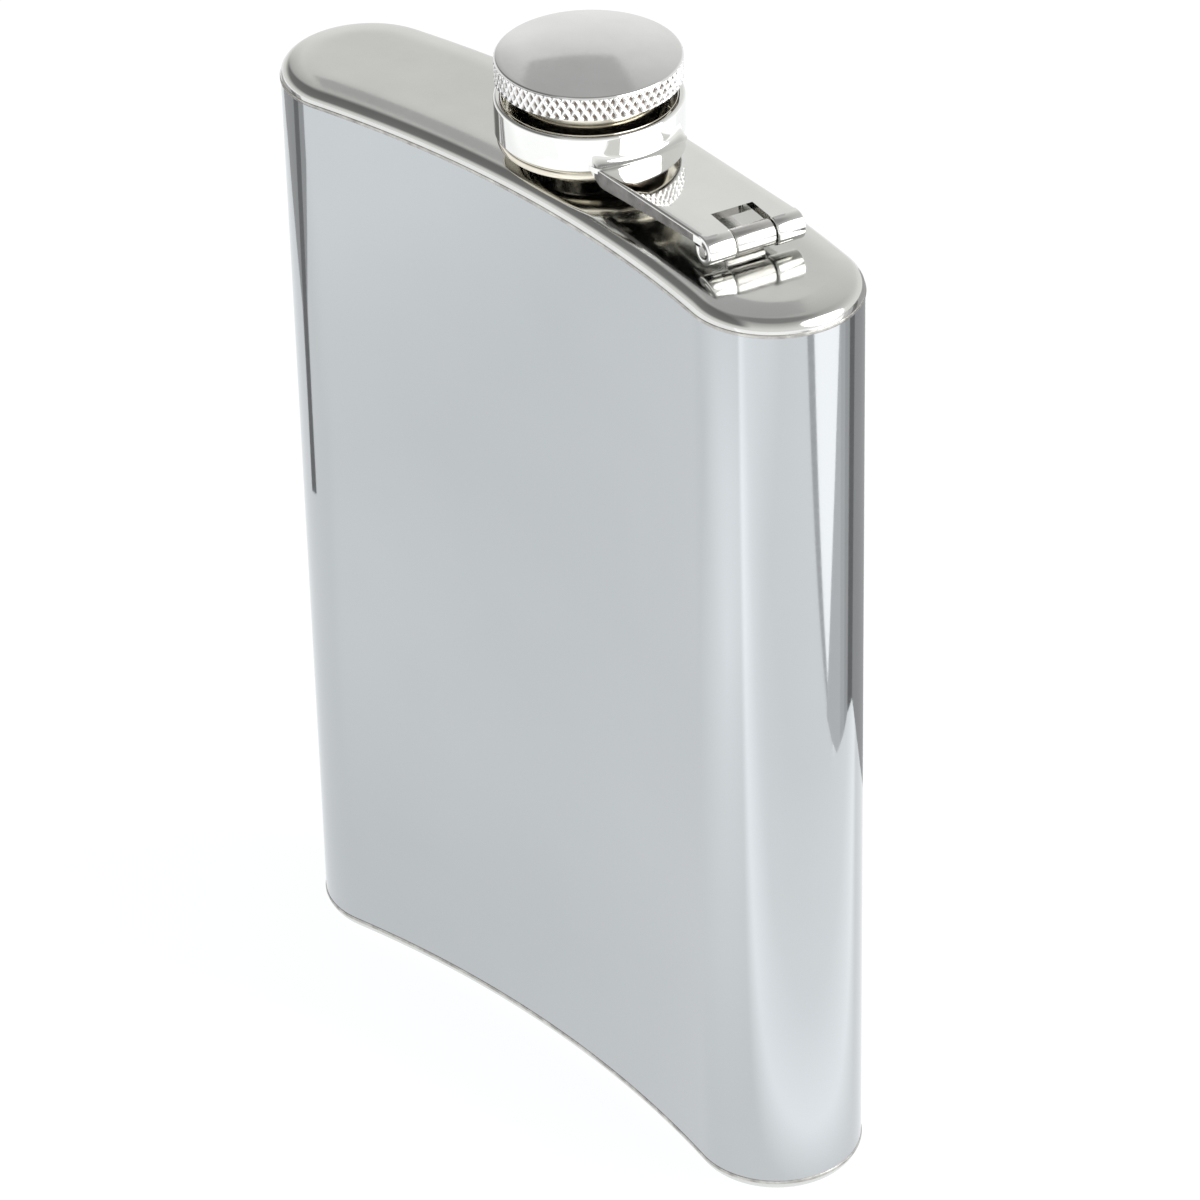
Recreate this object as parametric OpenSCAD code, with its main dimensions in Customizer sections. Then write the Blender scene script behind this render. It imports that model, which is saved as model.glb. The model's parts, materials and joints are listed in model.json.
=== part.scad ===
// Hip flask, curved to the hip, with a screw cap held captive in the collar
// of a hinged arm.
// One source, millimetres, +Z up, standing on its base at the origin.
// +X points to the hinge end, -Y is the hollow side worn against the hip,
// +Y the bulging side.  As drawn the cap is one turn unscrewed and hangs
// in the collar of the arm, with the arm lying shut over the neck.

/* [Body] */
// width over the two round ends
body_width = 95; // [60:0.5:130]
// thickness front to back
body_thickness = 21.4; // [16:0.5:35]
// how far the middle of the body bulges past its round ends
bend_rise = 4; // [1:0.1:8]
// height from the base to the top plate
body_height = 127.5; // [80:0.5:180]
// sheet thickness of the walls and plates
sheet = 0.6; // [0.4:0.1:1.2]
// radius of the shoulder round the top plate
top_shoulder = 2.2; // [1.2:0.1:4]
// radius of the edge round the base
base_shoulder = 2; // [1.2:0.1:4]
// height of the weld bead between wall and plates
seam_height = 0.5; // [0.2:0.1:1]
// how far the dressed weld bead stands proud
seam_proud = 0.08; // [0:0.02:0.3]

/* [Neck] */
// offset of the neck from mid width, towards the hinge
neck_offset = 0.5; // [0:0.1:2]
// outer radius of the neck tube
neck_r = 7.5; // [5:0.1:12]
// wall of the neck tube
neck_wall = 0.65; // [0.4:0.05:1.5]
// height of the neck above the top plate
neck_height = 8.95; // [6:0.05:14]
// outer radius of the neck thread
thread_r = 8.2; // [6:0.05:12]
// rise of the thread in one turn
thread_lead = 1.5; // [1:0.1:3]

/* [Arm and hinge] */
// distance from neck axis to hinge axis
arm_reach = 32; // [20:0.1:50]
// direction of the arm seen from above
arm_angle = -6; // [-15:0.5:15]
// skew of the hinge axis against the arm
hinge_skew = 6; // [0:0.5:10]
// width of the arm
arm_width = 13; // [8:0.5:20]
// sheet thickness of the arm
arm_sheet = 1; // [0.6:0.1:1.6]
// sheet thickness of the side flanges of the arm
flange_sheet = 0.9; // [0.5:0.1:1.4]
// radius of the hollow where the arm meets the collar
root_r = 1.2; // [0.6:0.1:2]
// length of the window over the bracket, inboard of the hinge axis
window_length = 4.3; // [2:0.1:8]
// width of the window, which takes the middle knuckle
window_width = 5.6; // [3:0.1:10]
// height of the hinge axis above the top plate
hinge_height = 2.7; // [2:0.1:5]
// outer radius of the rolled knuckles
knuckle_r = 1.8; // [1.2:0.1:3]
// outer radius of the middle knuckle on the bracket
bracket_r = 1.6; // [1.2:0.1:3]
// sheet thickness of the bracket
bracket_sheet = 0.7; // [0.4:0.1:1.2]
// reach of the bracket's foot, inboard of the hinge axis
bracket_foot = 10; // [6:0.5:14]
// radius of the hinge pin
pin_r = 0.8; // [0.5:0.05:1.5]
// outer radius of the captive collar
collar_r = 11.5; // [9:0.1:16]
// bore radius of the captive collar
collar_bore = 10.4; // [8:0.1:15]
// underside of the collar above the top plate
collar_low = 3.3; // [2:0.1:5]
// height of the collar
collar_height = 4.75; // [3:0.05:8]

/* [Cap] */
// outer radius over the knurl
cap_r = 11.3; // [9:0.1:16]
// underside of the knurled skirt above the top plate
skirt_low = 10.2; // [9:0.1:11]
// top rim of the cap above the top plate
rim_high = 13.3; // [12.6:0.1:18]
// radius of the edge between knurl and dome
cap_edge = 0.3; // [0.2:0.1:0.7]
// sheet thickness of the cap shell
cap_sheet = 0.6; // [0.4:0.1:1]
// rise of the domed top above its rim
dome_rise = 1.2; // [0.5:0.1:3]
// outer radius of the threaded insert
insert_r = 9.35; // [8:0.05:12]
// bore radius of the threaded insert
insert_bore = 8.75; // [7:0.05:12]
// radius of the lip that keeps the cap in the collar
lip_r = 11.2; // [9:0.1:15]
// height of the retaining lip
lip_height = 1.2; // [0.8:0.1:1.5]
// thickness of the sealing disc
seal_thick = 1.2; // [0.5:0.1:3]

/* [Hidden] */
$fn = 96;
end_r = body_thickness / 2;
end_x = body_width / 2 - end_r;
bend_radius = (end_x * end_x + bend_rise * bend_rise) / (2 * bend_rise);
bend_depth = bend_radius - bend_rise;
// the collar reaches furthest back, the round ends furthest forward
end_y = -(bend_rise + collar_r - end_r) / 2;
bend_y = end_y - bend_depth;
neck_x = neck_offset;
neck_y = bend_y + sqrt(bend_radius * bend_radius - neck_x * neck_x);
plate_z = body_height;
top_seam_z = body_height - top_shoulder;
base_seam_z = base_shoulder;
arm_top = hinge_height + knuckle_r;
axis_angle = arm_angle - hinge_skew;
curl_bore = pin_r + 0.05;
arm_half = arm_width / 2;
knuckle_len = (arm_width - window_width) / 2;
bracket_half = window_width / 2 - 0.1;
seal_low = neck_height + 0.05 + thread_lead;
seal_top = seal_low + seal_thick;
lip_top = collar_low - 0.1;
lip_low = lip_top - lip_height;
lip_edge = 0.5;
disc_sheet = 0.55;
rim_r = cap_r - cap_edge;
dome_r = (rim_r * rim_r + dome_rise * dome_rise) / (2 * dome_rise);
ridge_mid = 5.6;
thread_span = 345;

side_wall();
top_plate();
bottom_plate();
top_seam();
bottom_seam();
neck();
neck_thread();
hinge_bracket();
hinge_pin();
captive_arm();
cap_shell();
cap_insert();
cap_thread();
seal();

// ---- shared frames -------------------------------------------------------

// origin on the neck axis at the top plate, +X along the arm to the hinge
module at_neck() {
  translate([neck_x, neck_y, plate_z]) rotate([0, 0, arm_angle]) children();
}

// origin on the hinge axis, Y along the axis, +X away from the neck
module at_hinge() {
  at_neck() translate([arm_reach, 0, hinge_height])
    rotate([0, 0, -hinge_skew]) children();
}

// cylinder along the hinge axis between two stations
module axis_rod(r, y0, y1) {
  translate([0, y1, 0]) rotate([90, 0, 0]) cylinder(h = y1 - y0, r = r);
}

// ---- body shapes ---------------------------------------------------------

// sector between the two end centres, seen from the bend centre
module bend_sector() {
  polygon([[0, 0], [1.2 * end_x, 1.2 * bend_depth], [-1.2 * end_x, 1.2 * bend_depth]]);
}

// outer half plane of the right-hand end, seen from its centre
module end_sector() {
  u = [end_x / 10, bend_depth / 10];
  n = [bend_depth / 10, -end_x / 10];
  polygon([-u, u, u + n, n - u]);
}

// kidney outline seen from above, moved inwards by the inset
module kidney(inset) {
  translate([0, bend_y]) intersection() {
    difference() {
      circle(r = bend_radius + end_r - inset, $fn = 720);
      circle(r = bend_radius - end_r + inset, $fn = 720);
    }
    bend_sector();
  }
  for (s = [0, 1]) mirror([s, 0]) translate([end_x, end_y]) intersection() {
    circle(r = end_r - inset);
    end_sector();
  }
}

// wall strip of the kidney between two heights
module kidney_wall(inset, z0, z1, proud) {
  translate([0, 0, z0]) linear_extrude(height = z1 - z0) difference() {
    kidney(-proud);
    kidney(inset);
  }
}

// half section of a dished plate, edge radius r, flat side up at height zero
module dish_half(r) {
  difference() {
    union() {
      translate([0, -sheet]) square([end_r - r, sheet]);
      translate([end_r - r, -r]) circle(r = r);
    }
    translate([end_r - r, -r]) circle(r = r - sheet);
    translate([end_r - 2 * r - 1, -2 * r - 1]) square([2 * r + 2, r + 1 + seam_height / 2]);
    translate([end_r - 2 * r - 1, -r - 1]) square([r + 1, r + 1 - sheet]);
  }
}

// dished plate swept along the kidney outline
module dish(r) {
  for (s = [0, 1]) mirror([s, 0, 0]) translate([end_x, end_y, 0]) intersection() {
    rotate_extrude() dish_half(r);
    translate([0, 0, -5]) linear_extrude(height = 10) end_sector();
  }
  translate([0, bend_y, 0]) intersection() {
    rotate_extrude($fn = 720) translate([bend_radius, 0]) {
      dish_half(r);
      mirror([1, 0]) dish_half(r);
    }
    translate([0, 0, -5]) linear_extrude(height = 10) bend_sector();
  }
}

// ---- body ----------------------------------------------------------------

// rolled sheet wall of the flask
module side_wall() color("#c9ced3")
  kidney_wall(sheet, base_seam_z + seam_height / 2, top_seam_z - seam_height / 2, 0);

// pressed top plate with the hole for the neck
module top_plate() color("#c4c4c0") difference() {
  translate([0, 0, plate_z]) dish(top_shoulder);
  translate([neck_x, neck_y, plate_z - 5]) cylinder(h = 10, r = neck_r + 0.05);
}

// pressed base plate
module bottom_plate() color("#c4c4c0")
  mirror([0, 0, 1]) dish(base_shoulder);

// dressed weld bead round the top
module top_seam() color("#b2b2ae")
  kidney_wall(sheet, top_seam_z - seam_height / 2, top_seam_z + seam_height / 2, seam_proud);

// dressed weld bead round the base
module bottom_seam() color("#b2b2ae")
  kidney_wall(sheet, base_seam_z - seam_height / 2, base_seam_z + seam_height / 2, seam_proud);

// ---- neck ----------------------------------------------------------------

// plain tube of the neck with the flange under the top plate
module neck() color("#bdbdb9") at_neck() rotate_extrude() difference() {
  union() {
    translate([neck_r - neck_wall, -1.4]) square([neck_wall, neck_height + 1.4 - neck_wall / 2]);
    translate([neck_r - neck_wall / 2, neck_height - neck_wall / 2]) circle(d = neck_wall);
    translate([neck_r - neck_wall, -1.4]) square([2.2, 0.8]);
  }
}

// one turn of thread ridge between a root and a crest radius
module ridge(root, crest, z) {
  n = 46;
  section = [[root, -0.35], [crest, -0.15], [crest, 0.15], [root, 0.35]];
  points = [for (i = [0:n]) for (p = section)
    let (a = thread_span * i / n)
    [p[0] * cos(a), p[0] * sin(a), z + p[1] + thread_lead * a / 360]];
  side = [for (i = [0:n - 1]) for (k = [0:3])
    let (a = 4 * i + k, b = 4 * i + (k + 1) % 4)
    for (tri = [[a, a + 4, b], [b, a + 4, b + 4]])
      root < crest ? tri : [tri[0], tri[2], tri[1]]];
  first = root < crest ? [0, 1, 2, 3] : [3, 2, 1, 0];
  last = root < crest ? [4 * n + 3, 4 * n + 2, 4 * n + 1, 4 * n]
                      : [4 * n, 4 * n + 1, 4 * n + 2, 4 * n + 3];
  polyhedron(points = points, faces = concat([first, last], side), convexity = 4);
}

// rolled thread of the neck
module neck_thread() color("#bdbdb9")
  at_neck() ridge(neck_r + 0.02, thread_r, ridge_mid);

// ---- hinge and arm -------------------------------------------------------

// bracket: foot on the top plate, upright leg, middle knuckle
module hinge_bracket() color("#b9b9b5") at_hinge() difference() {
  union() {
    axis_rod(bracket_r, -bracket_half, bracket_half);
    translate([-bracket_r, -bracket_half, -hinge_height])
      cube([bracket_sheet, 2 * bracket_half, hinge_height]);
    translate([-bracket_foot, -bracket_half, -hinge_height])
      cube([bracket_foot - bracket_r + bracket_sheet, 2 * bracket_half, bracket_sheet]);
  }
  axis_rod(curl_bore, -arm_half, arm_half);
}

// hinge pin through the three knuckles
module hinge_pin() color("#d0d0cc") at_hinge()
  axis_rod(pin_r, -arm_half, arm_half);

// side flange of the arm, deep near the collar, shallow near the hinge
module arm_flange(y) {
  x0 = sqrt(collar_r * collar_r - arm_half * arm_half);
  x1 = arm_reach - bracket_r + y * tan(hinge_skew);
  translate([0, y + flange_sheet / 2, 0]) rotate([90, 0, 0]) linear_extrude(height = flange_sheet)
    polygon([[x0, arm_top - 0.5], [x0, arm_top - arm_sheet], [x0 + 2.8, arm_top - 2.3],
             [x1, arm_top - 1.4], [x1, arm_top - 0.5]]);
}

// section of the captive collar with rounded edges
module collar_section() {
  w = collar_r - collar_bore;
  e = 0.45;
  for (x = [collar_bore + e, collar_r - e]) for (z = [e, collar_height - e])
    translate([x, z]) circle(r = e);
  translate([collar_bore + e, 0]) square([w - 2 * e, collar_height]);
  translate([collar_bore, e]) square([w, collar_height - 2 * e]);
}

// section of the hollow fillet that carries the arm up the collar
module root_fillet() {
  difference() {
    translate([collar_r - 0.4, arm_top - 0.4]) square([root_r + 0.4, root_r + 0.4]);
    translate([collar_r + root_r, arm_top + root_r]) circle(r = root_r);
  }
}

// arm with collar, window and the two outer knuckles
module captive_arm() color("#cfcfcb") difference() {
  union() {
    at_neck() {
      translate([0, 0, collar_low]) rotate_extrude() collar_section();
      intersection() {
        rotate_extrude() root_fillet();
        translate([collar_r / 2, -arm_half, 0]) cube([collar_r, arm_width, collar_r]);
      }
      translate([0, 0, arm_top - arm_sheet]) linear_extrude(height = arm_sheet) difference() {
        polygon([[5, -arm_half], [5, arm_half],
                 [arm_reach + arm_half * tan(hinge_skew), arm_half],
                 [arm_reach - arm_half * tan(hinge_skew), -arm_half]]);
        circle(r = collar_r - 0.4);
      }
      for (s = [-1, 1]) arm_flange(s * (arm_half - flange_sheet / 2));
    }
    at_hinge() for (y = [-arm_half, arm_half - knuckle_len])
      axis_rod(knuckle_r, y, y + knuckle_len);
  }
  at_hinge() {
    axis_rod(curl_bore, -arm_width, arm_width);
    translate([-window_length, -window_width / 2, -3])
      cube([window_length + 2 * knuckle_r, window_width, 6]);
    // slit where the sheet curls back under the arm
    translate([-3, -arm_width, -0.2]) cube([2.2, 2 * arm_width, 0.5]);
  }
}

// ---- cap -----------------------------------------------------------------

// domed and knurled shell of the cap
module cap_shell() color("#c8c8c4") at_neck() rotate_extrude() difference() {
  union() {
    translate([0, skirt_low]) square([cap_r, rim_high - cap_edge - skirt_low]);
    translate([0, skirt_low]) square([rim_r, rim_high - skirt_low]);
    translate([rim_r, rim_high - cap_edge]) circle(r = cap_edge);
    intersection() {
      translate([0, rim_high + dome_rise - dome_r]) circle(r = dome_r, $fn = 360);
      translate([0, rim_high - 1]) square([rim_r, 3 + dome_rise]);
    }
  }
  translate([-20, 0]) square([20, 40]);
  translate([-1, skirt_low - 1]) square([cap_r - 0.8 + 1, seal_top + disc_sheet - skirt_low + 1.05]);
  intersection() {
    translate([0, rim_high + dome_rise - dome_r]) circle(r = dome_r - cap_sheet, $fn = 360);
    translate([-1, seal_top]) square([9, 6]);
  }
}

// threaded insert: closed top disc, tube and the lip under the collar
module cap_insert() color("#cdbf95") at_neck() rotate_extrude() {
  e = lip_edge;
  translate([0, seal_top]) square([cap_r - 0.85, disc_sheet]);
  translate([insert_bore, lip_low]) square([insert_r - insert_bore, seal_top - lip_low + 0.2]);
  translate([insert_bore, lip_low]) square([lip_r - insert_bore - e, lip_height]);
  translate([insert_bore + 1, lip_low + e]) square([lip_r - insert_bore - 1, lip_height - 2 * e]);
  for (z = [lip_low + e, lip_top - e]) translate([lip_r - e, z]) circle(r = e);
}

// thread ridge inside the insert
module cap_thread() color("#cdbf95")
  at_neck() ridge(insert_bore, neck_r + 0.5, ridge_mid + thread_lead / 2);

// soft disc that closes on the rim of the neck
module seal() color("#e8e4da") at_neck()
  translate([0, 0, seal_low]) cylinder(h = seal_thick, r = insert_bore - 0.05);
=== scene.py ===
"""Hip flask: satin body, polished plates, knurled captive cap and rolled hinge, in a white studio."""
import json
import math

import bmesh
import bpy
from mathutils import Matrix, Vector


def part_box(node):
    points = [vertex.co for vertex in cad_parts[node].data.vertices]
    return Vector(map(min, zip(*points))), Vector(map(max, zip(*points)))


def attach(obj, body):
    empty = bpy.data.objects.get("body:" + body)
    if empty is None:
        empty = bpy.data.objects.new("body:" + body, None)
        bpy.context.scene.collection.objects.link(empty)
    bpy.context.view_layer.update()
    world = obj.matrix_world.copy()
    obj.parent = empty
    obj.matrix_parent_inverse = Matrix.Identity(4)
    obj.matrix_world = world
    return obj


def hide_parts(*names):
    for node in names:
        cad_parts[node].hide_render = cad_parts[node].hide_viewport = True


MM = 0.001
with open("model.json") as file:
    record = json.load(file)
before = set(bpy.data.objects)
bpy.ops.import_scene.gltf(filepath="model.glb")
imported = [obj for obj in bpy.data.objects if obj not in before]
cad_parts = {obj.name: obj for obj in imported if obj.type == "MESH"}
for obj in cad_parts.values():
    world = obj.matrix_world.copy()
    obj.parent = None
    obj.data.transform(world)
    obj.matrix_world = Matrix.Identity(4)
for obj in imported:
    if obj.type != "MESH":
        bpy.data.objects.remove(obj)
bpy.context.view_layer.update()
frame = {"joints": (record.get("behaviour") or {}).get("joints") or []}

# ---- sizes of the flask, and places read from the frame --------------------

THICKNESS = 21.4 * MM     # across each round end
BEND_RISE = 4.0 * MM      # how far the middle of the body bows back from the two ends
SHEET = 0.6 * MM
THREAD_LEAD = 1.5 * MM
WELD_DISTANCE = 1e-7      # vertices closer than this are one
CREASE = 35.0             # angle in degrees above which an edge usually stays sharp

wall_low, wall_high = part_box("side_wall")
END_R = THICKNESS / 2
END_X = wall_high.x - END_R
END_Y = wall_low.y + END_R
BEND_R = (END_X ** 2 + BEND_RISE ** 2) / (2 * BEND_RISE)
BEND_Y = END_Y - (BEND_R - BEND_RISE)
PLATE_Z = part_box("top_plate")[1].z

seal_low, seal_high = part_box("seal")
NECK = Vector(((seal_low.x + seal_high.x) / 2, (seal_low.y + seal_high.y) / 2, PLATE_Z))

swing = next(j for j in frame["joints"] if j["name"] == "arm_swing")
HINGE = Vector(swing["pos_m"])
HINGE_AXIS = Vector(swing["axis"]).normalized()
ARM_DIR = Vector((HINGE.x - NECK.x, HINGE.y - NECK.y, 0)).normalized()
ARM_REACH = Vector((HINGE.x - NECK.x, HINGE.y - NECK.y, 0)).length
HINGE_H = HINGE.z - PLATE_Z


def placed(x_axis, origin):
    """Frame with +Z up, +X along the given level direction, at the origin given."""
    x_axis = x_axis.normalized()
    y_axis = Vector((0, 0, 1)).cross(x_axis)
    turn = Matrix((x_axis, y_axis, (0, 0, 1))).transposed()
    return Matrix.Translation(origin) @ turn.to_4x4()


AT_NECK = placed(ARM_DIR, NECK)
AT_HINGE = placed(HINGE_AXIS.cross(Vector((0, 0, 1))), HINGE)


# ---- mesh helpers ----------------------------------------------------------

def finish_mesh(name, bm, place=None, crease=CREASE):
    """Object from a bmesh: doubles welded, normals outward, smooth below the crease angle."""
    bmesh.ops.remove_doubles(bm, verts=bm.verts, dist=WELD_DISTANCE)
    bmesh.ops.recalc_face_normals(bm, faces=bm.faces)
    if place is not None:
        bm.transform(place)
    mesh = bpy.data.meshes.new(name)
    bm.to_mesh(mesh)
    bm.free()
    mesh.shade_smooth()
    mesh.set_sharp_from_angle(angle=math.radians(crease))
    obj = bpy.data.objects.new(name, mesh)
    bpy.context.scene.collection.objects.link(obj)
    return obj


def grid(bm, rows, close_rows=False, close_cols=False):
    """Quads between rows of points of equal length."""
    verts = [[bm.verts.new(p) for p in row] for row in rows]
    n_rows, n_cols = len(verts), len(verts[0])
    for i in range(n_rows if close_rows else n_rows - 1):
        for j in range(n_cols if close_cols else n_cols - 1):
            a, b = verts[i], verts[(i + 1) % n_rows]
            k = (j + 1) % n_cols
            bm.faces.new((a[j], a[k], b[k], b[j]))
    return verts


def arc(cx, cz, r, start, end, steps):
    """Points of an arc in a section plane, angles in degrees."""
    turn = [math.radians(start + (end - start) * i / steps) for i in range(steps + 1)]
    return [(cx + r * math.cos(a), cz + r * math.sin(a)) for a in turn]


def revolve(profile, steps, closed=True):
    """bmesh of a section of (radius, height) points turned about Z."""
    bm = bmesh.new()
    turns = [2 * math.pi * i / steps for i in range(steps)]
    rows = [[(r * math.cos(a), r * math.sin(a), z) for r, z in profile] for a in turns]
    grid(bm, rows, close_rows=True, close_cols=closed)
    return bm


def cap_ends(bm, verts):
    """Closes the first and the last row of a tube."""
    bm.faces.new(verts[0])
    bm.faces.new(verts[-1])


def strip(path, thickness, width, taper):
    """bmesh of a sheet bent along a path in XZ, its width along Y and its edges rounded by the taper."""
    bm = bmesh.new()
    half, t = width / 2 - taper, thickness / 2 - taper
    corners = [(-t, -half, 180), (t, -half, 270), (t, half, 0), (-t, half, 90)]
    section = [p for s, y, turn in corners for p in arc(s, y, taper, turn, turn + 90, 3)]
    rows = []
    for i, (x, z) in enumerate(path):
        ahead, behind = path[min(i + 1, len(path) - 1)], path[max(i - 1, 0)]
        along = Vector((ahead[0] - behind[0], ahead[1] - behind[1])).normalized()
        side = Vector((-along.y, along.x))
        rows.append([(x + side.x * s, y, z + side.y * s) for s, y in section])
    cap_ends(bm, grid(bm, rows, close_cols=True))
    return bm


def box_tool(name, low, high, place):
    """Box between two corners of a placed frame, to cut with."""
    bm = bmesh.new()
    bmesh.ops.create_cube(bm, size=1)
    size = [b - a for a, b in zip(low, high)]
    mid = [(a + b) / 2 for a, b in zip(low, high)]
    bm.transform(Matrix.Translation(mid) @ Matrix.Diagonal((*size, 1)))
    return finish_mesh(name, bm, place)


def combine(obj, tool, operation):
    """Applies a boolean with the tool object and removes the tool."""
    mod = obj.modifiers.new("combine", "BOOLEAN")
    mod.operation = operation
    mod.solver = "EXACT"
    mod.object = tool
    graph = bpy.context.evaluated_depsgraph_get()
    mesh = bpy.data.meshes.new_from_object(obj.evaluated_get(graph))
    obj.modifiers.clear()
    obj.data = mesh
    bpy.data.objects.remove(tool)
    return obj


# ---- body: everything swept along the kidney outline -----------------------

BEND_STEPS, END_STEPS = 96, 48


def compass(a):
    """Level unit vector at an angle from +Y towards +X."""
    return Vector((math.sin(a), math.cos(a)))


def kidney_ribs():
    """(centre, outward direction) pairs round the outline; a point lies at centre + direction * reach."""
    half = math.asin(END_X / BEND_R)
    ribs = []
    for side, turn in ((1, half), (-1, math.pi - half)):
        for i in range(BEND_STEPS):
            out = compass(side * (-half + 2 * half * i / BEND_STEPS))
            ribs.append((Vector((0, BEND_Y)) + out * BEND_R, side * out))
        for i in range(END_STEPS):
            ribs.append((Vector((side * END_X, END_Y)), compass(turn + math.pi * i / END_STEPS)))
    return ribs


def kidney_sweep(profile, closed):
    """bmesh of a section of (inset, height) points swept round the outline."""
    bm = bmesh.new()
    rows = []
    for centre, out in kidney_ribs():
        row = [centre + out * (END_R - inset) for inset, z in profile]
        rows.append([(p.x, p.y, z) for p, (inset, z) in zip(row, profile)])
    grid(bm, rows, close_rows=True, close_cols=closed)
    return bm


def side_wall():
    """The rolled sheet, open at both ends."""
    steps = 24
    heights = [wall_low.z + (wall_high.z - wall_low.z) * i / steps for i in range(steps + 1)]
    outside = [(0, z) for z in heights]
    inside = [(SHEET, z) for z in reversed(heights)]
    return finish_mesh("wall", kidney_sweep(outside + inside, True))


def dish_profile(seam_depth):
    """Section of a pressed plate face up at height zero: flat, falling gently, then round to the skirt."""
    fall_from, fall_to, slope = 4.6 * MM, 1.3 * MM, math.radians(12)
    bend = math.tan(slope) / (2 * (fall_from - fall_to))
    round_r = fall_to / (1 - math.sin(slope))
    flat = [(END_R + (fall_from - END_R) * i / 10, 0) for i in range(10)]
    insets = [fall_from + (fall_to - fall_from) * i / 8 for i in range(8)]
    fall = [(x, -bend * (fall_from - x) ** 2) for x in insets]
    low = -bend * (fall_from - fall_to) ** 2 - round_r * math.cos(slope)
    edge = [(round_r - x, z) for x, z in arc(0, low, round_r, 90 - math.degrees(slope), 0, 16)]
    skirt = [(0, -seam_depth), (SHEET, -seam_depth)]
    under = [(SHEET + 1.2 * MM, -1.6 * SHEET), (fall_from, -1.2 * SHEET), (END_R, -1.2 * SHEET)]
    return flat + fall + edge + skirt + under


def top_plate():
    """Upper plate, with the hole that the neck stands in."""
    bm = kidney_sweep(dish_profile(PLATE_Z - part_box("top_plate")[0].z), False)
    plate = finish_mesh("plate_top", bm, Matrix.Translation((0, 0, PLATE_Z)))
    hole_r, reach = 7.55 * MM, 4 * MM
    hole = revolve([(0, -reach), (hole_r, -reach), (hole_r, reach), (0, reach)], 96, False)
    return combine(plate, finish_mesh("hole", hole, AT_NECK), "DIFFERENCE")


def bottom_plate():
    """The same pressing face down, standing on the floor."""
    bm = kidney_sweep(dish_profile(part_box("bottom_plate")[1].z), False)
    return finish_mesh("plate_base", bm, Matrix.Diagonal((1, 1, -1, 1)))


def seam(name, node):
    """Weld bead: a shallow half round standing proud of the wall."""
    low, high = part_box(node)
    mid, half = (low.z + high.z) / 2, (high.z - low.z) / 2
    proud = wall_low.x - low.x
    bead = [(-proud * math.cos(math.radians(a)), mid + half * math.sin(math.radians(a)))
            for a in range(-90, 91, 15)]
    return finish_mesh(name, kidney_sweep(bead + [(SHEET, mid + half), (SHEET, mid - half)], True))


# ---- threads, neck and cap -------------------------------------------------

RIDGE_HALF, CREST_HALF = 0.35 * MM, 0.15 * MM


def thread(bm, root, crest, z):
    """Adds nearly one turn of ridge that fades in and out at its ends."""
    steps, span = 180, math.radians(345)
    rows = []
    for i in range(steps + 1):
        a = span * i / steps
        fade = min(1, 8 * i / steps, 8 * (steps - i) / steps)
        tip = root + (crest - root) * fade
        h = z + THREAD_LEAD * a / (2 * math.pi)
        section = [(root, h - RIDGE_HALF), (tip, h - CREST_HALF), (tip, h + CREST_HALF),
                   (root, h + RIDGE_HALF)]
        rows.append([(r * math.cos(a), r * math.sin(a), zz) for r, zz in section])
    cap_ends(bm, grid(bm, rows, close_cols=True))


def node_span(node):
    """Lowest and highest point of a node above the top plate, and its radius about the neck axis."""
    low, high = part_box(node)
    return low.z - PLATE_Z, high.z - PLATE_Z, (high.x - low.x) / 2


def neck():
    """Threaded tube with a flange under the plate and a rounded lip."""
    low, high, flange = node_span("neck")
    outer, bore, flange_top, crest = 7.5 * MM, 6.85 * MM, low + 0.8 * MM, 8.2 * MM
    lip = (outer - bore) / 2
    top = arc(bore + lip, high - lip, lip, 0, 180, 10)
    profile = [(bore, low), (flange, low), (flange, flange_top), (outer, flange_top),
               (outer, 0), *[(outer, high * i / 6) for i in range(1, 6)], *top]
    bm = revolve(profile, 144)
    thread(bm, outer, crest, node_span("neck_thread")[0] + RIDGE_HALF)
    return finish_mesh("neck_tube", bm, AT_NECK)


def cap_insert():
    """Threaded sleeve inside the cap: closed top, tube, and the lip that hangs under the collar."""
    low, high, lip_r = node_span("cap_insert")
    tube, bore, disc_r, crest = 9.35 * MM, 8.75 * MM, 10.45 * MM, 8.0 * MM
    disc_low, lip_top = high - 0.55 * MM, low + 1.2 * MM
    lip_edge, mouth, hollow, corner = 0.5 * MM, 0.3 * MM, 0.25 * MM, 0.2 * MM
    lip = arc(lip_r - lip_edge, low + lip_edge, lip_edge, -90, 0, 8)
    lip += arc(lip_r - lip_edge, lip_top - lip_edge, lip_edge, 0, 90, 8)
    profile = [(0, disc_low), (bore - corner, disc_low), (bore, disc_low - corner), (bore, low + mouth),
               (bore + mouth, low), *lip, (tube + hollow, lip_top), (tube, lip_top + hollow),
               (tube, disc_low), (disc_r, disc_low), (disc_r, high), (0, high)]
    bm = revolve(profile, 180, False)
    thread(bm, bore, crest, node_span("cap_thread")[0] + RIDGE_HALF)
    return finish_mesh("insert", bm, AT_NECK)


KNURL_STARTS = 124
KNURL_PITCH = 0.88 * MM
KNURL_DEPTH = 0.3 * MM
DOME_RISE = 1.2 * MM


def knurl(turn, height):
    """Depth of a knurl of crossing ridges, 0 on the ridges, 1 in the diamond pits between them."""
    u = KNURL_STARTS * turn / (2 * math.pi)
    v = height / KNURL_PITCH
    broad, narrow = 0.45, 0.25
    bold = (abs(math.sin(math.pi * (u + v) / 2)) - broad) / (1 - broad)
    fine = (abs(math.sin(math.pi * (u - v) / 2)) - narrow) / (1 - narrow)
    return max(0, min(bold, fine)) ** 0.8


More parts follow.
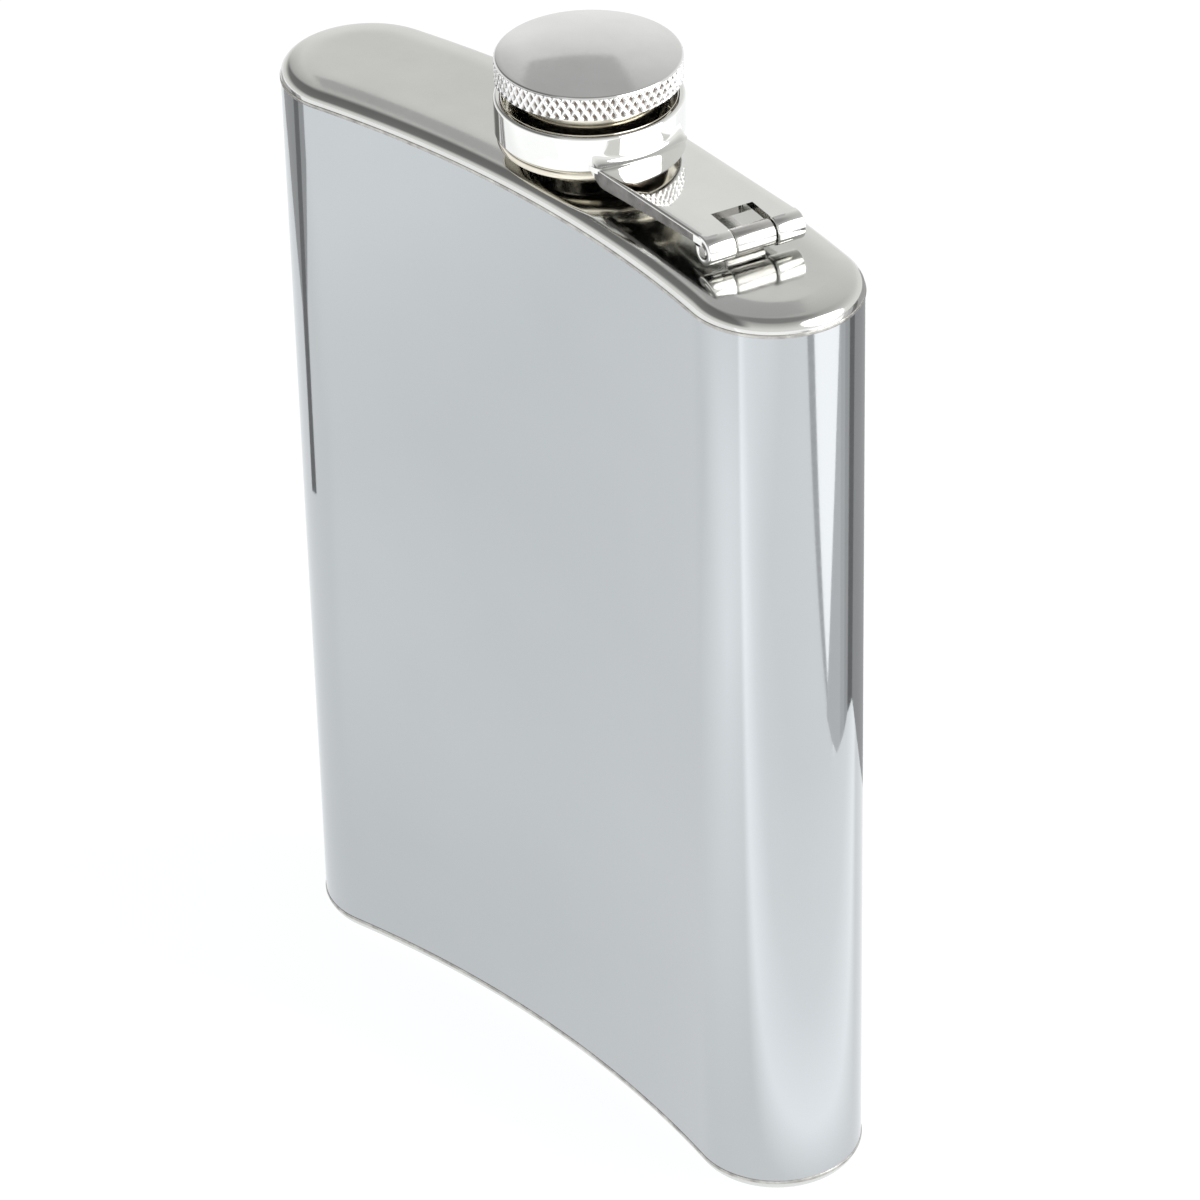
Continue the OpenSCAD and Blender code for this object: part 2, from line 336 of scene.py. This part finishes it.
def cap_shell():
    """Domed cup with a small shoulder and a knurled band, cut ridge by ridge."""
    low, high, cap_r = node_span("cap_shell")
    rim, edge_r = high - DOME_RISE, 0.3 * MM
    dome_edge = cap_r - 0.05 * MM - edge_r
    dome_r = (dome_edge ** 2 + DOME_RISE ** 2) / (2 * DOME_RISE)
    lean = math.asin(dome_edge / dome_r)
    leans = [lean * i / 24 for i in range(24)]
    dome = [(dome_r * math.sin(a), high - dome_r * (1 - math.cos(a))) for a in leans]
    shoulder = arc(dome_edge, rim - edge_r, edge_r, 90 - math.degrees(lean), 10, 8)
    band_high, band_low, rows_n = rim - edge_r, low + 0.08 * MM, 34
    band = [band_high + (band_low - band_high) * i / rows_n for i in range(rows_n + 1)]
    fades = [min(1, k / 2, (rows_n - k) / 2) for k in range(rows_n + 1)]
    inner, lead_in, roof = 10.5 * MM, 0.2 * MM, 12.2 * MM
    under = [(cap_r - KNURL_DEPTH, low), (inner + lead_in, low), (inner, low + lead_in),
             (inner, roof), (0, roof + 0.05 * MM)]
    steps = KNURL_STARTS * 8
    bm = bmesh.new()
    rows = []
    for i in range(steps):
        a = 2 * math.pi * i / steps
        cut = [cap_r - KNURL_DEPTH * fade * knurl(a, z) for fade, z in zip(fades, band)]
        points = dome + shoulder + list(zip(cut, band)) + under
        rows.append([(r * math.cos(a), r * math.sin(a), z) for r, z in points])
    grid(bm, rows, close_rows=True)
    return finish_mesh("cap_top", bm, AT_NECK, 50)


def seal():
    """Flat disc with rounded edges, inside the cap."""
    low, high, r = node_span("seal")
    e = 0.2 * MM
    profile = [(0, low), *arc(r - e, low + e, e, -90, 0, 4), *arc(r - e, high - e, e, 0, 90, 4), (0, high)]
    return finish_mesh("sealing_disc", revolve(profile, 96, False), AT_NECK)


# ---- arm and hinge ----------------------------------------------------------

ARM_W = 13.0 * MM
ARM_SHEET = 1.0 * MM
KNUCKLE_R = 1.8 * MM
WINDOW_W, WINDOW_REACH = 5.6 * MM, 4.3 * MM
KNUCKLE_LEN = (ARM_W - WINDOW_W) / 2
PIN_R = 0.8 * MM
ARM_TOP = HINGE_H + KNUCKLE_R
SKEW = math.tan(math.acos(max(-1, min(1, HINGE_AXIS.dot(Vector((0, 0, 1)).cross(ARM_DIR))))))
COLLAR_R, COLLAR_BORE = 11.5 * MM, 10.4 * MM
COLLAR_LOW, COLLAR_TOP = 3.3 * MM, 8.05 * MM


def strap():
    """Channel section run from inside the collar wall to the hinge line, sheared to the hinge's skew."""
    half, ease_r, wall, roof = ARM_W / 2, 0.4 * MM, 0.9 * MM, ARM_TOP - ARM_SHEET
    start, end = math.sqrt(COLLAR_R ** 2 - half ** 2) - 0.25 * MM, ARM_REACH
    root = 2 * MM         # closer sections over this length from the collar
    flange = 1.4 * MM     # depth of the turned-down sides at the collar, which taper to the hinge
    swell = 2.2 * MM      # length over which they come in
    plain = 1.7 * MM      # length at the hinge that has none
    corner = [(y - half + ease_r, z + ARM_TOP - ease_r) for y, z in arc(0, 0, ease_r, 180, 90, 5)]
    across = [(-half + ease_r + (ARM_W - 2 * ease_r) * i / 12, ARM_TOP) for i in range(1, 12)]
    far_corner = [(-y, z) for y, z in reversed(corner)]
    bm = bmesh.new()
    rows = []
    stations = [start + root * i / 10 for i in range(10)]
    stations += [start + root + (end - start - root) * i / 24 for i in range(25)]
    for x in stations:
        run = (x - start) / (end - start)
        skirt = 0.1 * MM if x > end - plain else flange * (1 - run) * min(1, (x - start) / swell)
        foot = roof - skirt - 0.02 * MM
        outside = [(-half, foot), *corner, *across, *far_corner, (half, foot)]
        inside = [(half - wall, foot), (half - wall, roof), (-half + wall, roof), (-half + wall, foot)]
        rows.append([(x + y * SKEW * run, y, z) for y, z in outside + inside])
    cap_ends(bm, grid(bm, rows, close_cols=True))
    return finish_mesh("strap", bm, AT_NECK)


def root_fillet():
    """Hollow that carries the strap's top up the collar wall, tight in the middle, wide at its sides."""
    half = ARM_W / 2
    proud = 0.3 * MM      # how far it passes the strap's sides
    tuck = 0.4 * MM       # how far it reaches into the collar
    drop = 0.7 * MM       # and into the strap
    inside, foot = COLLAR_R - tuck, ARM_TOP - drop
    quarter = [math.pi / 2 * k / 12 for k in range(13)]
    bm = bmesh.new()
    rows = []
    for i in range(73):
        y = (half + proud) * (i / 36 - 1)
        flare = min(1, abs(y / half)) ** 3
        turn = max(0, (abs(y) - 0.82 * half) / (0.18 * half + proud))
        wide = 0.08 * MM + (0.7 + 0.9 * flare) * MM * math.sqrt(1 - min(1, turn) ** 2)
        tall = (0.8 + 1.2 * flare) * MM
        curve = [(COLLAR_R + wide * (1 - math.cos(t)), ARM_TOP + tall * (1 - math.sin(t)))
                 for t in quarter]
        section = [(inside, ARM_TOP + tall), *curve, (COLLAR_R + wide, foot), (inside, foot)]
        rows.append([(math.sqrt(r * r - y * y), y, z) for r, z in section])
    cap_ends(bm, grid(bm, rows, close_cols=True))
    return finish_mesh("fillet", bm, AT_NECK)


def collar():
    """Ring of rounded section that the cap hangs in."""
    e = 0.45 * MM
    corners = [(COLLAR_R - e, COLLAR_LOW + e), (COLLAR_R - e, COLLAR_TOP - e),
               (COLLAR_BORE + e, COLLAR_TOP - e), (COLLAR_BORE + e, COLLAR_LOW + e)]
    profile = [p for i, (r, z) in enumerate(corners) for p in arc(r, z, e, 90 * i - 90, 90 * i, 8)]
    return finish_mesh("collar", revolve(profile, 240), AT_NECK)


def rolled(name, radius, sheet, length, sweep, tail, place):
    """Sheet rolled round the hinge line through a sweep of (start, end) degrees, after a straight tail."""
    curl = arc(0, 0, radius - sheet / 2, *sweep, 56)
    return finish_mesh(name, strip(tail + curl, sheet, length, 0.22 * MM), place, 50)


def outer_knuckle(side):
    """One rolled end of the strap, open a little where the sheet comes back under the arm."""
    sheet = 0.85 * MM
    middle = side * (ARM_W / 2 - KNUCKLE_LEN / 2)
    place = AT_HINGE @ Matrix.Translation((0, middle, 0))
    tail = [(-0.6 * MM, KNUCKLE_R - sheet / 2)]
    return rolled("knuckle", KNUCKLE_R, sheet, KNUCKLE_LEN, (90, -190), tail, place)


def captive_arm():
    """Collar, strap and two rolled knuckles in one pressing, with the window over the middle knuckle."""
    arm = combine(collar(), strap(), "UNION")
    arm = combine(arm, root_fillet(), "UNION")
    window_low = (-WINDOW_REACH, -WINDOW_W / 2, -3 * MM)
    window_high = (5 * MM, WINDOW_W / 2, 6 * MM)
    arm = combine(arm, box_tool("window", window_low, window_high, AT_HINGE), "DIFFERENCE")
    for side in (-1, 1):
        arm = combine(arm, outer_knuckle(side), "UNION")
    arm.name = "arm_and_collar"
    arm.data.shade_smooth()
    arm.data.set_sharp_from_angle(angle=math.radians(38))
    return arm


def hinge_pin():
    """Pin through all three knuckles, its ends chamfered."""
    half, e = ARM_W / 2, 0.12 * MM
    profile = [(0, -half), (PIN_R - e, -half), (PIN_R, -half + e), (PIN_R, half - e), (PIN_R - e, half),
               (0, half)]
    lie = Matrix.Rotation(math.radians(90), 4, "X")
    return finish_mesh("pin", revolve(profile, 64, False), AT_HINGE @ lie)


def hinge_bracket():
    """Middle knuckle, leg and foot bent from one strip."""
    t, width, foot_end = 0.7 * MM, 5.3 * MM, -10 * MM
    r, foot, bend = 1.6 * MM - t / 2, -HINGE_H + t / 2, 0.5 * MM
    curl = arc(0, 0, r, -110, 180, 40)
    leg = [(-r, -0.6 * MM), (-r, foot + bend)]
    turn = arc(-r - bend, foot + bend, bend, 0, -90, 6)
    bm = strip(curl + leg + turn + [(foot_end, foot)], t, width, 0.2 * MM)
    return finish_mesh("bracket", bm, AT_HINGE, 50)


# ---- materials ---------------------------------------------------------------

def nodes_of(name):
    """New material, its node tree and its shader."""
    mat = bpy.data.materials.new(name)
    mat.use_nodes = True
    tree = mat.node_tree
    shader = tree.nodes["Principled BSDF"]
    return mat, tree, shader


def link(tree, a, b):
    """Joins an output socket to an input socket."""
    tree.links.new(a, b)


def noise(tree, scale, detail=3.0, stretch=None):
    """Noise in object space, in cycles per metre, stretched if asked."""
    coord = tree.nodes.new("ShaderNodeTexCoord")
    source = coord.outputs["Object"]
    if stretch:
        mapping = tree.nodes.new("ShaderNodeMapping")
        mapping.inputs["Scale"].default_value = stretch
        link(tree, source, mapping.inputs["Vector"])
        source = mapping.outputs["Vector"]
    tex = tree.nodes.new("ShaderNodeTexNoise")
    tex.inputs["Scale"].default_value = scale
    tex.inputs["Detail"].default_value = detail
    tex.inputs["Roughness"].default_value = 0.55
    link(tree, source, tex.inputs["Vector"])
    return tex.outputs["Fac"]


def ramp(tree, fac, low, high):
    """Maps the middle of a noise to a range of values or colours."""
    node = tree.nodes.new("ShaderNodeValToRGB")
    for stop, pos, given in zip(node.color_ramp.elements, (0.3, 0.7), (low, high)):
        stop.position = pos
        stop.color = (given, given, given, 1) if isinstance(given, float) else (*given, 1)
    link(tree, fac, node.inputs["Fac"])
    return node.outputs["Color"]


def value(tree, operation, a, b=0.0, c=0.0):
    """Math node on sockets or numbers."""
    node = tree.nodes.new("ShaderNodeMath")
    node.operation = operation
    for socket, given in zip(node.inputs, (a, b, c)):
        if isinstance(given, (int, float)):
            socket.default_value = given
        else:
            link(tree, given, socket)
    return node.outputs["Value"]


def stops(tree, fac, pairs):
    """Grey ramp with any number of (position, value) stops."""
    node = tree.nodes.new("ShaderNodeValToRGB")
    steps = node.color_ramp.elements
    while len(steps) < len(pairs):
        steps.new(0.5)
    for stop, (pos, grey) in zip(steps, pairs):
        stop.position = pos
        stop.color = (grey, grey, grey * 0.99, 1)
    link(tree, fac, node.inputs["Fac"])
    return node.outputs["Color"]


def bump(tree, shader, height, distance, under=None):
    """Bump from a height in metres of relief, stacked on another one if given."""
    node = tree.nodes.new("ShaderNodeBump")
    node.inputs["Distance"].default_value = distance
    node.inputs["Strength"].default_value = 1.0
    link(tree, height, node.inputs["Height"])
    if under:
        link(tree, under, node.inputs["Normal"])
    link(tree, node.outputs["Normal"], shader.inputs["Normal"])
    return node.outputs["Normal"]


def metal(name, light, dark, rough_low, rough_high, patch, grain, grain_depth, wave, wave_depth,
          stretch=None):
    """Metal with patches of colour, a fine grain in its roughness and relief, and a slow waviness."""
    mat, tree, shader = nodes_of(name)
    shader.inputs["Metallic"].default_value = 1.0
    link(tree, ramp(tree, noise(tree, patch), dark, light), shader.inputs["Base Color"])
    rough = ramp(tree, noise(tree, grain / 3, stretch=stretch), rough_low, rough_high)
    link(tree, rough, shader.inputs["Roughness"])
    slow = bump(tree, shader, noise(tree, wave, 1.0), wave_depth)
    bump(tree, shader, noise(tree, grain, stretch=stretch), grain_depth, under=slow)
    return mat


def ground_weld():
    """Weld bead dressed by hand: mottled, rough and uneven."""
    return metal("ground_weld", (0.62, 0.61, 0.58), (0.34, 0.33, 0.31), 0.22, 0.5, patch=700,
                 grain=2600, grain_depth=0.02 * MM, wave=500, wave_depth=0.08 * MM)


def knurled_steel(pit_r, ridge_r):
    """Bright steel with painted shade, dark brown, in the knurl's pits, set by distance from the neck
    axis.
    """
    mat = metal("knurled_steel", (0.90, 0.90, 0.89), (0.84, 0.84, 0.83), 0.10, 0.2, patch=400, grain=3000,
                grain_depth=0.002 * MM, wave=400, wave_depth=0.004 * MM)
    tree = mat.node_tree
    shader = tree.nodes["Principled BSDF"]
    unshaded_colour = shader.inputs["Base Color"].links[0].from_socket
    coord = tree.nodes.new("ShaderNodeTexCoord")
    split = tree.nodes.new("ShaderNodeSeparateXYZ")
    link(tree, coord.outputs["Object"], split.inputs["Vector"])
    dx = value(tree, "SUBTRACT", split.outputs["X"], NECK.x)
    dy = value(tree, "SUBTRACT", split.outputs["Y"], NECK.y)
    squares = value(tree, "ADD", value(tree, "MULTIPLY", dx, dx), value(tree, "MULTIPLY", dy, dy))
    radius = value(tree, "SQRT", squares)
    span = tree.nodes.new("ShaderNodeMapRange")
    span.inputs["From Min"].default_value = pit_r
    span.inputs["From Max"].default_value = ridge_r
    link(tree, radius, span.inputs["Value"])
    mix = tree.nodes.new("ShaderNodeMix")
    mix.data_type = "RGBA"
    link(tree, span.outputs["Result"], mix.inputs["Factor"])
    # painted shade: the dark brown that the knurl's pits get, nearest the axis
    mix.inputs["A"].default_value = (0.16, 0.12, 0.095, 1)
    link(tree, unshaded_colour, mix.inputs["B"])
    link(tree, mix.outputs["Result"], shader.inputs["Base Color"])
    return mat


def soft_rubber():
    """Pale silicone with a fine matt grain."""
    mat, tree, shader = nodes_of("silicone")
    tint = ramp(tree, noise(tree, 300), (0.70, 0.67, 0.60), (0.80, 0.77, 0.70))
    link(tree, tint, shader.inputs["Base Color"])
    link(tree, ramp(tree, noise(tree, 900), 0.45, 0.6), shader.inputs["Roughness"])
    bump(tree, shader, noise(tree, 2500), 0.01 * MM)
    return mat


def dress(obj, mat, body, replaced):
    """Material, body and CAD nodes it stands for, for one finished piece."""
    obj.data.materials.clear()
    obj.data.materials.append(mat)
    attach(obj, body)
    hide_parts(*replaced)
    return obj


wall_finish = metal("wall_steel", (0.515, 0.535, 0.55), (0.495, 0.515, 0.53), 0.07, 0.11, patch=25,
                    grain=4200, grain_depth=0.0008 * MM, wave=22, wave_depth=0.01 * MM)
polished = metal("polished_plate", (0.71, 0.71, 0.69), (0.67, 0.67, 0.65), 0.08, 0.13, patch=120,
                 grain=2600, grain_depth=0.0004 * MM, wave=38, wave_depth=0.07 * MM)
bright = metal("bright_steel", (0.88, 0.88, 0.86), (0.84, 0.84, 0.82), 0.03, 0.07, patch=150, grain=2400,
               grain_depth=0.0003 * MM, wave=160, wave_depth=0.004 * MM)
dome_finish = metal("cap_steel", (0.80, 0.80, 0.79), (0.74, 0.74, 0.73), 0.08, 0.14, patch=150,
                    grain=4200, grain_depth=0.0004 * MM, wave=120, wave_depth=0.004 * MM)
nickel_brass = metal("nickel_brass", (0.84, 0.80, 0.70), (0.74, 0.69, 0.58), 0.10, 0.18, patch=300,
                     grain=2400, grain_depth=0.001 * MM, wave=160, wave_depth=0.003 * MM)
turned = metal("turned_steel", (0.72, 0.71, 0.69), (0.62, 0.61, 0.59), 0.14, 0.26, patch=300, grain=1600,
               grain_depth=0.002 * MM, wave=160, wave_depth=0.003 * MM, stretch=(0.2, 0.2, 4))
# painted shade: dark steel for the strap's turned-down sides, standing in for the shaded plate that they
# mirror
strap_side_shade = metal("strap_side_painted_shade", (0.26, 0.25, 0.24), (0.12, 0.115, 0.11), 0.2, 0.4, patch=500, grain=1500,
                grain_depth=0.006 * MM, wave=400, wave_depth=0.01 * MM)
weld = ground_weld()


# ---- pieces: each with its material, body and CAD nodes ----------------------

dress(side_wall(), wall_finish, "flask", ["side_wall"])
dress(top_plate(), polished, "flask", ["top_plate"])
dress(bottom_plate(), polished, "flask", ["bottom_plate"])
dress(seam("weld_top", "top_seam"), weld, "flask", ["top_seam"])
dress(seam("weld_base", "bottom_seam"), weld, "flask", ["bottom_seam"])
dress(neck(), turned, "flask", ["neck", "neck_thread"])
dress(hinge_bracket(), turned, "flask", ["hinge_bracket"])
arm = dress(captive_arm(), bright, "arm", ["captive_arm"])
arm.data.materials.append(strap_side_shade)
# the strap's outer side faces take the steel with painted shade
to_neck = AT_NECK.inverted()
for face in arm.data.polygons:
    place = to_neck @ face.center
    sideways = abs((to_neck.to_3x3() @ face.normal).y) > 0.97
    on_strap = COLLAR_R - 1.5 * MM < place.x < ARM_REACH - 2 * MM and place.z < ARM_TOP - 0.3 * MM
    face.material_index = int(sideways and on_strap and abs(place.y) > ARM_W / 2 - 0.1 * MM)
dress(hinge_pin(), turned, "arm", ["hinge_pin"])
cap = dress(cap_shell(), dome_finish, "cap", ["cap_shell"])
cap_high, cap_r = node_span("cap_shell")[1:]
# the knurled band takes the steel with painted shade in its pits
cap.data.materials.append(knurled_steel(cap_r - 0.28 * MM, cap_r - 0.12 * MM))
band_top = PLATE_Z + cap_high - DOME_RISE - 0.3 * MM
for face in cap.data.polygons:
    face.material_index = int(abs(face.normal.z) < 0.95 and face.center.z < band_top)
dress(cap_insert(), nickel_brass, "cap", ["cap_insert", "cap_thread"])
dress(seal(), soft_rubber(), "sealing_disc", ["seal"])


# ---- studio ------------------------------------------------------------------

def studio_world():
    """White tent: open and dark overhead and to the left, plain white behind the object."""
    world = bpy.data.worlds.new("tent")
    bpy.context.scene.world = world
    world.use_nodes = True
    tree = world.node_tree
    tree.nodes.clear()
    out = tree.nodes.new("ShaderNodeOutputWorld")
    coord = tree.nodes.new("ShaderNodeTexCoord")
    split = tree.nodes.new("ShaderNodeSeparateXYZ")
    link(tree, coord.outputs["Generated"], split.inputs["Vector"])
    x, y, z = (split.outputs[a] for a in "XYZ")
    wall = stops(tree, z, [(0.0, 0.95), (0.30, 0.90), (0.50, 0.76), (0.60, 0.70), (0.86, 0.50),
                           (0.95, 0.28)])
    opening = stops(tree, z, [(0.0, 0.92), (0.20, 0.80), (0.42, 0.22), (1.0, 0.16)])
    facing = value(tree, "ADD", value(tree, "MULTIPLY", x, -0.77), value(tree, "MULTIPLY", y, -0.64))
    tent = tree.nodes.new("ShaderNodeMix")
    tent.data_type = "RGBA"
    link(tree, stops(tree, facing, [(0.3, 0.0), (0.5, 1.0)]), tent.inputs["Factor"])
    link(tree, wall, tent.inputs["A"])
    link(tree, opening, tent.inputs["B"])
    tent_light = tree.nodes.new("ShaderNodeBackground")
    link(tree, tent.outputs["Result"], tent_light.inputs["Color"])
    plain = tree.nodes.new("ShaderNodeBackground")
    plain.inputs["Color"].default_value = (1, 1, 1, 1)
    path = tree.nodes.new("ShaderNodeLightPath")
    mix = tree.nodes.new("ShaderNodeMixShader")
    link(tree, path.outputs["Is Camera Ray"], mix.inputs["Fac"])
    link(tree, tent_light.outputs["Background"], mix.inputs[1])
    link(tree, plain.outputs["Background"], mix.inputs[2])
    link(tree, mix.outputs["Shader"], out.inputs["Surface"])


FLOOR_LIGHT = 0.935                 # all over
POOL_CENTRE = (0.005, -0.13, 0)
POOL_LIGHT = (-2.7, 0.29)           # fall per metre from its centre, and its peak
BESIDE_LIGHT = 0.42                 # strongest beside the hinge end
FRONT_LIGHT = (-2.0, -0.24)         # rise per metre towards the front, and where it starts
FRONT_MOST = 0.12


def floor():
    """White table with brighter light in front of the object and beside its hinge end."""
    bm = bmesh.new()
    bmesh.ops.create_grid(bm, x_segments=1, y_segments=1, size=3.0)
    obj = finish_mesh("floor", bm)
    obj.location.z = -0.1 * MM
    mat, tree, shader = nodes_of("white_floor")
    shader.inputs["Base Color"].default_value = (0.12, 0.12, 0.12, 1)
    shader.inputs["Roughness"].default_value = 0.8
    shader.inputs["Emission Color"].default_value = (0.985, 1.0, 1.01, 1)
    coord = tree.nodes.new("ShaderNodeTexCoord")
    away = tree.nodes.new("ShaderNodeVectorMath")
    away.operation = "DISTANCE"
    link(tree, coord.outputs["Object"], away.inputs[0])
    away.inputs[1].default_value = POOL_CENTRE
    split = tree.nodes.new("ShaderNodeSeparateXYZ")
    link(tree, coord.outputs["Object"], split.inputs["Vector"])
    pool = value(tree, "MAXIMUM", value(tree, "MULTIPLY_ADD", away.outputs["Value"], *POOL_LIGHT))
    right = value(tree, "MULTIPLY_ADD", split.outputs["X"], 2.5, 0.5)
    beside = stops(tree, right, [(0.62, 0.0), (0.65, 0.9), (0.72, 0.4), (0.85, 0.2)])
    beside = value(tree, "MULTIPLY", beside, BESIDE_LIGHT)
    front = value(tree, "MAXIMUM", value(tree, "MULTIPLY_ADD", split.outputs["Y"], *FRONT_LIGHT))
    front = value(tree, "MINIMUM", front, FRONT_MOST)
    light = value(tree, "ADD", value(tree, "ADD", pool, beside), value(tree, "ADD", front, FLOOR_LIGHT))
    link(tree, light, shader.inputs["Emission Strength"])
    obj.data.materials.append(mat)


VIEW_TURN = 40.74          # heading of a mirrored view is twice the wall's heading plus this, in degrees
VIEW_DROP = 0.655          # how far a mirrored view falls for each metre that it goes
CARD_REACH = 12 * MM       # distance of the standing cards from the wall
CARD_Z = 0.3 * MM          # height of the lying cards
CARD_TOP = 0.134


def card(name, faces, glow):
    """Card beyond the view, seen only in the metal; each face is a list of corners in metres."""
    bm = bmesh.new()
    for corners in faces:
        bm.faces.new([bm.verts.new(c) for c in corners])
    obj = finish_mesh(name, bm)
    mat, _, shader = nodes_of(name)
    shader.inputs["Base Color"].default_value = (0.02, 0.02, 0.02, 1)
    shader.inputs["Emission Color"].default_value = (glow, glow, glow, 1)
    shader.inputs["Emission Strength"].default_value = 1
    obj.data.materials.append(mat)
    obj.visible_camera = obj.visible_diffuse = obj.visible_shadow = False


def ray(point, degrees, length):
    """Point at that heading and distance from another, level with it."""
    a = math.radians(degrees)
    return (point[0] + length * math.cos(a), point[1] + length * math.sin(a), point[2])


def mirrored(centre, heading, height):
    """Where the camera's view goes after the round end's wall turns it back, at that normal and height."""
    wall = ray((*centre, height - VIEW_DROP * CARD_REACH), heading, END_R)
    return ray(wall, 2 * heading + VIEW_TURN, CARD_REACH)


def curtain(name, centre, low, high, glow):
    """Standing card that a round end's wall mirrors between two edges, each given as (heading, height)."""
    low = [mirrored(centre, *edge) for edge in low]
    high = [mirrored(centre, *edge) for edge in high]
    card(name, [[low[i], low[i + 1], high[i + 1], high[i]] for i in range(len(low) - 1)], glow)


def table_cards():
    """Bright card on the table beyond the hinge end, with a dull edge, which draws the wedge down it."""
    tip = ray((wall_high.x, END_Y, CARD_Z), 39, 0.095)
    near, far, edge = ray(tip, -11.8, 0.5), ray(tip, 66.3, 0.5), ray(tip, -11.8, 0.3)
    card("bright_card", [[tip, near, far]], 1.5)
    card("card_edge", [[tip, ray(tip, -25, 0.3), edge]], 0.45)


def end_cards():
    """Cards standing round the two ends, which draw the dark streaks down them."""
    right, left = (END_X, END_Y), (wall_low.x + END_R, END_Y)
    curtain("shade_1", right, [(-6.5, 0.071), (-2, 0.067), (2, 0.065), (5, 0.066)],
            [(-6.3, 0.073), (-3.5, 0.088), (0, 0.106), (5, CARD_TOP)], 0.76)
    curtain("shade_2", right, [(5, 0.066), (9, 0.0675)], [(5, CARD_TOP), (9, CARD_TOP)], 0.66)
    curtain("shade_3", right, [(9, 0.0675), (12.5, 0.070)], [(9, CARD_TOP), (14, CARD_TOP)], 0.53)
    curtain("shade_4", right, [(12.5, 0.070), (18, 0.0715)], [(14, CARD_TOP), (20, CARD_TOP)], 0.18)
    curtain("shade_5", right, [(18, 0.0715), (25, 0.065), (32, 0.060), (38, 0.057), (43, 0.055)],
            [(a, CARD_TOP) for a in (20, 26, 32, 38, 43)], 0.41)
    core = [(-93, 0.132), (-93.5, 0.118), (-94.5, 0.108), (-96, 0.096), (-96.5, 0.082), (-97, 0.068)]
    fade = [(-98.5, 0.132), (-99.2, 0.118), (-100, 0.108), (-101, 0.096), (-102, 0.082), (-103, 0.068)]
    dusk = [(-118, 0.132), (-111, 0.118), (-106.8, 0.107), (-102, 0.096), (-102.1, 0.082), (-103.1, 0.068)]
    dawn = [(-88, 0.132), (-88, 0.118), (-91, 0.108), (-95.4, 0.096), (-96.4, 0.082), (-96.9, 0.068)]
    curtain("shade_6", left, core, fade, 0.20)
    curtain("shade_7", left, fade, dusk, 0.45)
    curtain("shade_8", left, dawn, core, 0.47)


def ceiling_card():
    """Darker gap in the tent's roof, reflected by the domed cap and here and there in the plate."""
    back, side, up = Vector((-0.758, 0.653, 0)), Vector((0.653, 0.758, 0)), Vector((0, 0, 1))
    corners = [(1.47, -0.28), (1.45, 0.12), (0.77, 0.20), (0.50, -0.02), (0.50, -0.30)]
    height = 0.9
    card("roof_gap", [[NECK + (back * a + side * b + up) * height for a, b in corners]], 0.41)


def softbox(name, place, aim, size, power):
    """Soft oval light at a place, facing another."""
    data = bpy.data.lights.new(name, "AREA")
    data.shape = "ELLIPSE"
    data.size, data.size_y = size
    data.energy = power
    obj = bpy.data.objects.new(name, data)
    obj.location = place
    obj.rotation_mode = "QUATERNION"
    obj.rotation_quaternion = (Vector(aim) - Vector(place)).to_track_quat("-Z", "Y")
    bpy.context.scene.collection.objects.link(obj)


def camera():
    """Long lens looking down at the hollow side and the hinge end."""
    azimuth, elevation, roll = math.radians(49.26), math.radians(33.25), math.radians(-1.39)
    back = Vector((math.sin(azimuth) * math.cos(elevation), -math.cos(azimuth) * math.cos(elevation),
                   math.sin(elevation)))
    data = bpy.data.cameras.new("camera")
    data.lens = 175.1
    data.sensor_width = 36
    data.clip_start, data.clip_end = 0.05, 20
    obj = bpy.data.objects.new("camera", data)
    obj.location = (0.46499, -0.39874, 0.46537)
    aim = (-back).to_track_quat("-Z", "Y").to_matrix().to_4x4() @ Matrix.Rotation(roll, 4, "Z")
    obj.rotation_mode = "QUATERNION"
    obj.rotation_quaternion = aim.to_quaternion()
    bpy.context.scene.collection.objects.link(obj)
    bpy.context.scene.camera = obj


studio_world()
floor()
table_cards()
end_cards()
ceiling_card()
softbox("key", (0.95, 0.42, 0.62), (0.03, 0, 0.13), (1.15, 1.25), 10)
camera()
bpy.context.scene.view_settings.view_transform = "Standard"
